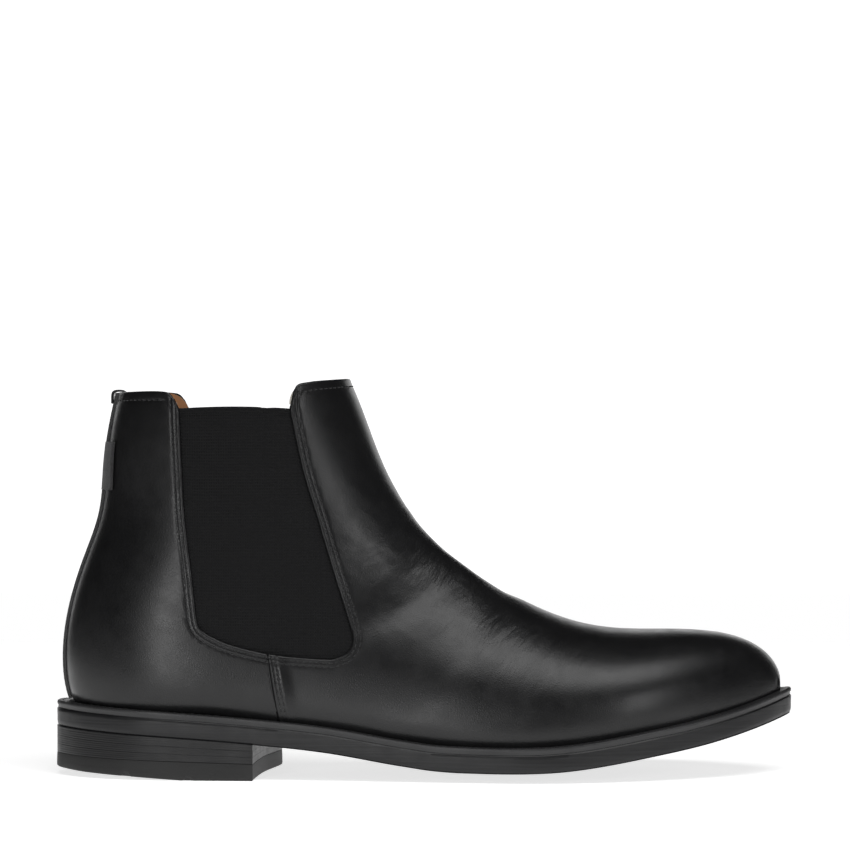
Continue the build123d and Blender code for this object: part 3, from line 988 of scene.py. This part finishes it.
def strip_fold():
    """A narrow leather tab that runs up the back strip, over the collar and down inside."""
    collar_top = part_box("back_strip")[1].z
    outer_face, _ = rear_hit(strip_tree, 0, collar_top - ROW_TWO * MM)
    path = smooth_line(FOLD_SECTION, per_span=5)
    away = shift_line(path, FOLD_THICKNESS)
    vertices = []
    for near, far in zip(path, away):
        for (x, z), y in ((near, -1), (near, 1), (far, 1), (far, -1)):
            place = Vector((x, y * FOLD_HALF_WIDTH, z)) * MM
            vertices.append(place + Vector((outer_face.x, 0, collar_top)))
    faces = round_faces(len(path), 4)
    faces.append((3, 2, 1, 0))
    faces.append(tuple(len(vertices) - 4 + c for c in range(4)))
    return mesh_object("strip_fold", vertices, faces)


fold = strip_fold()
soften_edges(fold)
finish_piece(fold, CALF)


# ---- Sole and heel ----
OUTLINE_STEP = 1.0
OUTLINE = resample(smooth_line(SOLE_OUTLINE, closed=True), OUTLINE_STEP, closed=True)
MIDDLE_LINE = np.array([(-160, 0.0), (-112, -0.3), (-35, -2.5), (40, 0.7), (100, 6.0), (160, 7.5)])
HEEL_CENTRE_X = -112.0
TOE_CENTRE_X = 104.0
CRISP_EDGE_DEGREES = 38
WHEEL_PITCH = 2.0
WHEEL_DEPTH = 0.22
# The welt's section: out from the sole's outline, up from the welt's top, 1 where it's wheeled
WELT_SECTION = [
    (-7.0, -1.6, 0), (-6.5, -0.1, 0), (-3.4, 0.0, 0), (-2.4, -0.18, 0), (-1.5, 0.1, 1),
    (-0.7, 0.15, 1), (-0.15, -0.15, 1), (0.0, -0.7, 1), (-0.1, -1.4, 1), (-0.45, -1.8, 0),
    (-0.45, -2.5, 0), (-0.6, -2.8, 0), (-7.0, -2.8, 0),
]
WELT_STITCH_PITCH = 3.4
WELT_STITCH_LENGTH = 2.6
WELT_STITCH_INSET = 2.4
WELT_STITCH_SINK = 0.15
# The sole's edge: out from its outline, up from the welt's top
SOLE_SECTION = [
    (-1.2, -2.8), (-0.35, -2.85), (0.0, -3.3), (0.0, -4.6), (-0.08, -6.4), (-0.05, -8.2),
    (-0.2, -9.4), (-0.7, -10.0),
]
SAG_LINE = np.array([
    (-160, 0.0), (-46, 0.0), (-10, 1.3), (12, 3.0), (54, 2.6), (95, 2.2), (123, 1.6), (153, 0.4),
])
INNER_SHARES = (0.99, 0.975, 0.955, 0.94, 0.925, 0.9, 0.85, 0.78, 0.7, 0.6, 0.5, 0.38, 0.26, 0.14, 0.04)
CHANNEL_SHARE = 0.94
CHANNEL_DEPTH = 0.7


def plan_spine(points):
    """The point of the sole's middle line that each outline point looks to."""
    x = np.clip(points[:, 0], HEEL_CENTRE_X, TOE_CENTRE_X)
    return np.stack([x, np.interp(x, MIDDLE_LINE[:, 0], MIDDLE_LINE[:, 1])], axis=1)


def outline_normals(outline):
    """Outward unit normals of a closed plan outline."""
    tangent = np.roll(outline, -1, axis=0) - np.roll(outline, 1, axis=0)
    tangent /= np.linalg.norm(tangent, axis=1)[:, None]
    normal = np.stack([tangent[:, 1], -tangent[:, 0]], axis=1)
    outward = outline - outline.mean(axis=0)
    if (normal * outward).sum() < 0:
        normal = -normal
    return normal


def loop_at(plan, heights):
    """A loop in metres from plan points and heights in mm."""
    return np.column_stack([plan, heights]) * MM


def inner_loops(outline, spine, shares, height):
    """Loops drawn in from an outline towards its spine, at heights that follow x."""
    plans = [spine + (outline - spine) * share for share in shares]
    return [loop_at(plan, height(plan[:, 0])) for plan in plans]


def welt_loops():
    """The welt's section carried round the sole: a wheeled top bead over a groove."""
    normal = outline_normals(OUTLINE)
    top = welt_height(OUTLINE[:, 0])
    along = np.arange(len(OUTLINE)) * OUTLINE_STEP
    wheel = 0.5 + 0.5 * np.cos(2 * math.pi * along / WHEEL_PITCH)
    loops = []
    for out, drop, wheeled in WELT_SECTION:
        reach_out = out - WHEEL_DEPTH * wheel * wheeled
        plan = OUTLINE + normal * reach_out[:, None]
        loops.append(loop_at(plan, top + drop - WHEEL_DEPTH * 0.5 * wheel * wheeled))
    return loops


def solid_from_loops(name, loops, ring=False):
    """A closed piece from matching loops: a ring, or a slab whose end loops are filled."""
    count = len(loops[0])
    total = count * len(loops)
    if ring:
        faces = [[i % total for i in face] for face in round_faces(len(loops) + 1, count)]
    else:
        faces = round_faces(len(loops), count)
        faces += [list(reversed(range(count))), list(range(total - count, total))]
    piece = mesh_object(name, np.vstack(loops), faces)
    bm = bmesh.new()
    bm.from_mesh(piece.data)
    bmesh.ops.recalc_face_normals(bm, faces=bm.faces)
    bm.to_mesh(piece.data)
    bm.free()
    for polygon in piece.data.polygons:
        polygon.use_smooth = True
    piece.data.set_sharp_from_angle(angle=math.radians(CRISP_EDGE_DEGREES))
    return piece


finish_piece(solid_from_loops("welt_strip", welt_loops(), ring=True), WELT_BLACK, replaces=["welt"])

row = OUTLINE - outline_normals(OUTLINE) * WELT_STITCH_INSET
row_heights = welt_height(row[:, 0]) - WELT_STITCH_SINK
row_points = [Vector((x, y, z)) * MM for (x, y), z in zip(row, row_heights)]
row_points.append(row_points[0])
upward = [Vector((0, 0, 1))] * len(row_points)
welt_stitches = bmesh.new()
stitch_run(welt_stitches, row_points, upward, WELT_STITCH_PITCH, WELT_STITCH_LENGTH)
finish_piece(object_from_bmesh("welt_stitching", welt_stitches), THREAD)


def underside(x, share):
    """Height of the sole's underside at x, on the loop at a share of the way out."""
    sag = np.interp(x, SAG_LINE[:, 0], SAG_LINE[:, 1]) * (1 - share**2)
    return welt_height(x) - SOLE_EDGE - sag


def outsole_loops():
    """The sole from its top face, down the edge and across its gently swollen underside."""
    normal = outline_normals(OUTLINE)
    spine = plan_spine(OUTLINE)
    edge_height = welt_height(OUTLINE[:, 0])
    top_shares = list(reversed(INNER_SHARES[2::3]))
    loops = inner_loops(OUTLINE, spine, top_shares, lambda x: welt_height(x) - WELT)
    for out, drop in SOLE_SECTION:
        loops.append(loop_at(OUTLINE + normal * out, edge_height + drop))
    for share in INNER_SHARES:
        channel = CHANNEL_DEPTH if share == CHANNEL_SHARE else 0.0
        loops += inner_loops(OUTLINE, spine, [share], lambda x: underside(x, share) + channel)
    return loops


finish_piece(solid_from_loops("sole", outsole_loops()), EDGE, replaces=["outsole"])


HEEL_BREAST = [(-69.6, -60.0), (-69.6, -38.0), (-66.5, 0.0), (-60.5, 34.5), (-60.5, 60.0)]
# Heights of the joints between the heel's layers, at the two x values of HEEL_LINE_X
FIRST_JOINT, SECOND_JOINT, THIRD_JOINT = (16.7, 11.0), (13.1, 8.7), (9.4, 6.3)
HEEL_LAYERS = [
    ("heel_layer_1", "heel_lift_1", None, FIRST_JOINT),
    ("heel_layer_2", "heel_lift_2", FIRST_JOINT, SECOND_JOINT),
    ("heel_layer_3", "heel_lift_3", SECOND_JOINT, THIRD_JOINT),
]
HEEL_LINE_X = (-160.0, -50.0)
HEEL_SPINE_X = (-114, -84)
HEEL_SPINE_Y = -1.0
HEEL_FACE_SHARES = (0.3, 0.9)
BREAST_POINTS = 70
GROUND_LINE = np.array([(-160, 3.6), (-140, 2.3), (-120, 1.4), (-98, 0.0), (-50, 0.0)])
LAYER_ROWS = 24
GROOVES_PER_LAYER = 4
FINE_GROOVE_DEPTH = 0.03
JOINT_DEPTH = 0.05
NOTCHES_AT = (-121.5, -96.0)
NOTCH_RADIUS = 1.7
NOTCH_INSIDE = 20
# The top piece's wall: share of the way down to the ground, and out from the heel's outline
TOP_PIECE_SECTION = (
    (0, -0.35), (0.03, -0.08), (0.1, 0.0), (0.35, 0.05), (0.6, 0.1), (0.85, 0.12), (0.95, 0.0), (1, -0.4),
)
TREAD_SHARES = (0.96, 0.9, 0.88, 0.8, 0.3)
TREAD_GROOVE_SHARE = 0.88
TREAD_GROOVE_DEPTH = 0.6


def heel_outline():
    """The part of the sole's outline behind the heel breast, closed along the breast."""
    breast = smooth_line(HEEL_BREAST)
    front_at = np.interp(OUTLINE[:, 1], breast[:, 1], breast[:, 0])
    behind = OUTLINE[:, 0] < front_at
    start = int(np.flatnonzero(behind & ~np.roll(behind, 1))[0])
    rear = np.roll(OUTLINE, -start, axis=0)[:int(behind.sum())]
    low, high = rear[0], rear[-1]
    ys = np.linspace(high[1], low[1], BREAST_POINTS)[1:-1]
    across = np.stack([np.interp(ys, breast[:, 1], breast[:, 0]), ys], axis=1)
    return np.vstack([rear, across])


HEEL = heel_outline()
HEEL_NORMALS = outline_normals(HEEL)
HEEL_SPINE = np.stack([np.clip(HEEL[:, 0], *HEEL_SPINE_X), np.full(len(HEEL), HEEL_SPINE_Y)], axis=1)


def heel_line(ends, x):
    """Height of a heel joint line at x."""
    return np.interp(x, HEEL_LINE_X, ends)


def layer_top(over, x):
    """Height of a lift's top face at x: a joint line, or the sole's underside for the first."""
    return welt_height(x) - SOLE_EDGE if over is None else heel_line(over, x)


def ground_line(x):
    """Height of the top piece's underside at x."""
    return np.interp(x, GROUND_LINE[:, 0], GROUND_LINE[:, 1])


def heel_layer(name, over, under):
    """One lift with finely grooved walls and softened edges."""
    loops = inner_loops(HEEL, HEEL_SPINE, HEEL_FACE_SHARES, lambda x: layer_top(over, x))
    for row in range(LAYER_ROWS + 1):
        t = row / LAYER_ROWS
        heights = layer_top(over, HEEL[:, 0]) * (1 - t) + heel_line(under, HEEL[:, 0]) * t
        joint = -JOINT_DEPTH if row in (0, LAYER_ROWS) else 0.0
        groove = -FINE_GROOVE_DEPTH * (0.5 + 0.5 * math.cos(2 * math.pi * t * GROOVES_PER_LAYER))
        loops.append(loop_at(HEEL + HEEL_NORMALS * (joint + groove), heights))
    loops += inner_loops(HEEL, HEEL_SPINE, HEEL_FACE_SHARES[::-1], lambda x: heel_line(under, x))
    return solid_from_loops(name, loops)


def top_piece():
    """The rubber top piece, with a notch pair in its bottom edge."""
    loops = inner_loops(HEEL, HEEL_SPINE, HEEL_FACE_SHARES, lambda x: heel_line(THIRD_JOINT, x))
    ground = ground_line(HEEL[:, 0])
    for x in NOTCHES_AT:
        depth = np.sqrt(np.clip(NOTCH_RADIUS**2 - (HEEL[:, 0] - x) ** 2, 0, None))
        ground = ground + depth * (np.abs(HEEL[:, 1]) > NOTCH_INSIDE)
    top_edge = heel_line(THIRD_JOINT, HEEL[:, 0])
    for t, out in TOP_PIECE_SECTION:
        loops.append(loop_at(HEEL + HEEL_NORMALS * out, top_edge * (1 - t) + ground * t))
    for share in TREAD_SHARES:
        groove = TREAD_GROOVE_DEPTH if share == TREAD_GROOVE_SHARE else 0.0
        loops += inner_loops(HEEL, HEEL_SPINE, [share], lambda x: ground_line(x) + groove)
    return solid_from_loops("top_piece", loops)


for name, node, over, under in HEEL_LAYERS:
    finish_piece(heel_layer(name, over, under), STACK, replaces=[node])
finish_piece(top_piece(), RUBBER, replaces=["heel_top_piece"])


# ---- Flag label ----
RIBBON_ROWS = 26
RIBBON_COLUMNS = 22
RIBBON_THICKNESS = 0.4
RIBBON_BULGE = 0.2
FOLD_REACH = 0.35
INNER_PLY = 0.55
OUTER_PLY = 1.4


def ribbon_point(low, high, up, along, lift):
    """A point of the ribbon: up and along are shares of its height and width."""
    y = high.y + (low.y - high.y) * along
    z = low.z + (high.z - low.z) * up
    hit, normal = rear_hit(SKIN_TREE, y, z)
    return hit + normal * (lift * MM)


def label_ribbon():
    """A blank ribbon folded in half: out along the leather, round a soft fold and back."""
    low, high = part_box("label_tag")
    shares = [column / RIBBON_COLUMNS for column in range(RIBBON_COLUMNS + 1)]
    vertices, faces = [], []
    for row in range(RIBBON_ROWS + 1):
        up = row / RIBBON_ROWS
        for along in shares:
            vertices.append(ribbon_point(low, high, up, along, INNER_PLY))
        fold = ribbon_point(low, high, up, 1.0, (INNER_PLY + OUTER_PLY) / 2)
        vertices.append(fold - Vector((0, FOLD_REACH * MM, 0)))
        for along in reversed(shares):
            bulge = RIBBON_BULGE * math.sin(math.pi * along)
            vertices.append(ribbon_point(low, high, up, along, OUTER_PLY + bulge))
    count = 2 * len(shares) + 1
    for row in range(RIBBON_ROWS):
        for k in range(count - 1):
            base = row * count + k
            faces.append((base, base + 1, base + count + 1, base + count))
    return mesh_object("label_ribbon", vertices, faces)


label = label_ribbon()
thicken(label, RIBBON_THICKNESS, offset=0)
finish_piece(label, RIBBON, body=LABEL, replaces=["label_tag"])


# ---- CAD nodes that keep their own shape ----
STEEL = brushed_metal("brushed_steel", (0.55, 0.55, 0.56))
CORK = grained("cork_filler", (0.40, 0.25, 0.13), (0.58, 0.40, 0.24), 0.9, 350, 0.0004)
BOARD = grained("insole_board", (0.46, 0.33, 0.21), (0.58, 0.44, 0.30), 0.8, 600, 0.0002)
FOAM = grained("latex_foam", (0.74, 0.70, 0.58), (0.82, 0.78, 0.68), 0.9, 800, 0.0002)
STIFF_CLOTH = woven("stiffener_cloth", (0.55, 0.49, 0.38), (0.66, 0.60, 0.48), 900)
BACK_CLOTH = woven("backing_cloth", (0.66, 0.62, 0.55), (0.78, 0.75, 0.68), 1100)
NODE_MATERIALS = {
    "back_strip": CALF,
    "toe_puff": STIFF_CLOTH,
    "heel_counter": STIFF_CLOTH,
    "vamp_backing": BACK_CLOTH,
    "quarter_backing_lateral": BACK_CLOTH,
    "quarter_backing_medial": BACK_CLOTH,
    "vamp_lining": TAN,
    "quarter_lining_lateral": TAN,
    "quarter_lining_medial": TAN,
    "shank": STEEL,
    "heel_nails": STEEL,
    "bottom_filler": CORK,
    "insole_board": BOARD,
    "heel_cushion": FOAM,
    "sock_lining": SOCK_TAN,
}
SOFT_EDGED_NODES = ("back_strip", "vamp_lining", "quarter_lining_lateral", "quarter_lining_medial")
for node, material in NODE_MATERIALS.items():
    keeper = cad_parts[node]
    keeper.data.materials.clear()
    keeper.data.materials.append(material)
for node in SOFT_EDGED_NODES:
    soften_edges(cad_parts[node], angle_limit=50)


# ---- Studio ----
FLOOR_GLOW = 0.71
BACKDROP_GLOW = 1.0
ROOM_LIGHT = 0.02
BACKGROUND_WHITE = 1.0
LIGHT_TARGET = Vector((0, 0, 0.07))
CAMERA_PLACE = (0.0, -1.5, 0.144)
CAMERA_LENS = 153.1
FLOOR_CORNERS = [(-0.7, -0.35, 0), (0.7, -0.35, 0), (0.7, 0.9, 0), (-0.7, 0.9, 0)]
BACKDROP_CORNERS = [(-1.3, 1.6, 0), (1.3, 1.6, 0), (1.3, 1.6, 0.7), (-1.3, 1.6, 0.7)]
# Name, place, width and height in metres, watts
LIGHTS = [
    ("top_front", (0.2, -0.6, 1.3), (1.3, 0.75), 10.5),
    ("left_low", (-0.52, -1.35, 0.2), (0.26, 0.6), 3.6),
    ("right_low", (0.9, -1.15, 0.4), (0.26, 0.6), 2.6),
]


def glowing_sheet(name, corners, glow):
    """A flat white stage piece that also gives off its own light."""
    sheet = mesh_object(name, [Vector(corner) for corner in corners], [(0, 1, 2, 3)], smooth=False)
    material, shader = new_material(name, (0.9, 0.9, 0.9), 0.95)
    shader.inputs["Specular IOR Level"].default_value = 0.0
    shader.inputs["Emission Color"].default_value = (1, 1, 1, 1)
    shader.inputs["Emission Strength"].default_value = glow
    sheet.data.materials.append(material)


def studio_world():
    """A dim room whose walls look white to the camera."""
    world = bpy.data.worlds.new("studio_world")
    world.use_nodes = True
    tree = world.node_tree
    room = tree.nodes["Background"]
    room.inputs["Color"].default_value = (1, 1, 1, 1)
    room.inputs["Strength"].default_value = ROOM_LIGHT
    white = tree.nodes.new("ShaderNodeBackground")
    white.inputs["Color"].default_value = (1, 1, 1, 1)
    white.inputs["Strength"].default_value = BACKGROUND_WHITE
    path = tree.nodes.new("ShaderNodeLightPath")
    mix = tree.nodes.new("ShaderNodeMixShader")
    tree.links.new(path.outputs["Is Camera Ray"], mix.inputs[0])
    tree.links.new(room.outputs["Background"], mix.inputs[1])
    tree.links.new(white.outputs["Background"], mix.inputs[2])
    tree.links.new(mix.outputs["Shader"], tree.nodes["World Output"].inputs["Surface"])
    bpy.context.scene.world = world


def studio():
    """A pale floor, a low backdrop behind the boot, soft lights and the camera."""
    scene = bpy.context.scene
    glowing_sheet("studio_floor", FLOOR_CORNERS, FLOOR_GLOW)
    glowing_sheet("studio_backdrop", BACKDROP_CORNERS, BACKDROP_GLOW)
    studio_world()
    for name, place, size, power in LIGHTS:
        data = bpy.data.lights.new(name, "AREA")
        data.shape = "RECTANGLE"
        data.size, data.size_y = size
        data.energy = power
        lamp = bpy.data.objects.new(name, data)
        lamp.location = place
        lamp.rotation_euler = (LIGHT_TARGET - Vector(place)).to_track_quat("-Z", "Y").to_euler()
        scene.collection.objects.link(lamp)
    data = bpy.data.cameras.new("camera")
    data.lens = CAMERA_LENS
    camera = bpy.data.objects.new("camera", data)
    camera.location = CAMERA_PLACE
    camera.rotation_euler = (math.pi / 2, 0, 0)
    scene.collection.objects.link(camera)
    scene.camera = camera
    scene.view_settings.view_transform = "Standard"


studio()
